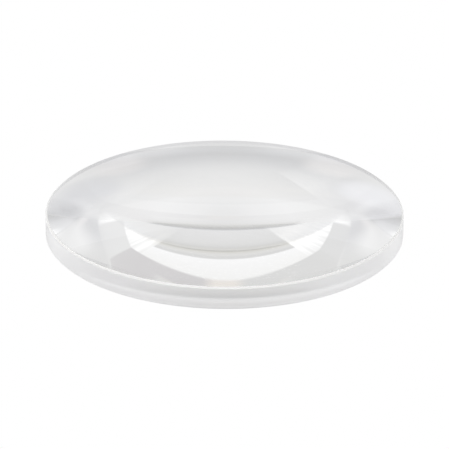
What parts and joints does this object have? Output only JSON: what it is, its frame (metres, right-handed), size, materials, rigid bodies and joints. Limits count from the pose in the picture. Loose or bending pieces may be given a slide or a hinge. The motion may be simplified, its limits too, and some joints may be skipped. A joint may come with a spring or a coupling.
{
  "type": "biconvex lens",
  "caption": "Round biconvex lens of clear optical glass, with two polished spherical faces, a fine-ground cylindrical rim and small bevels.",
  "frame": {"origin": "on the optical axis, halfway between the two faces, which is also the middle of the rim's height", "axes": "+Z along the optical axis, upwards as the lens lies on its lower face; X and Y are any two directions across the round rim"},
  "size_m": [0.0508, 0.0508, 0.0096],
  "materials": {
    "optical_glass": "polished on both faces, fine ground on the rim and bevels"
  },
  "bodies": {
    "root": {"lens": "optical_glass"}
  },
  "joints": []
}
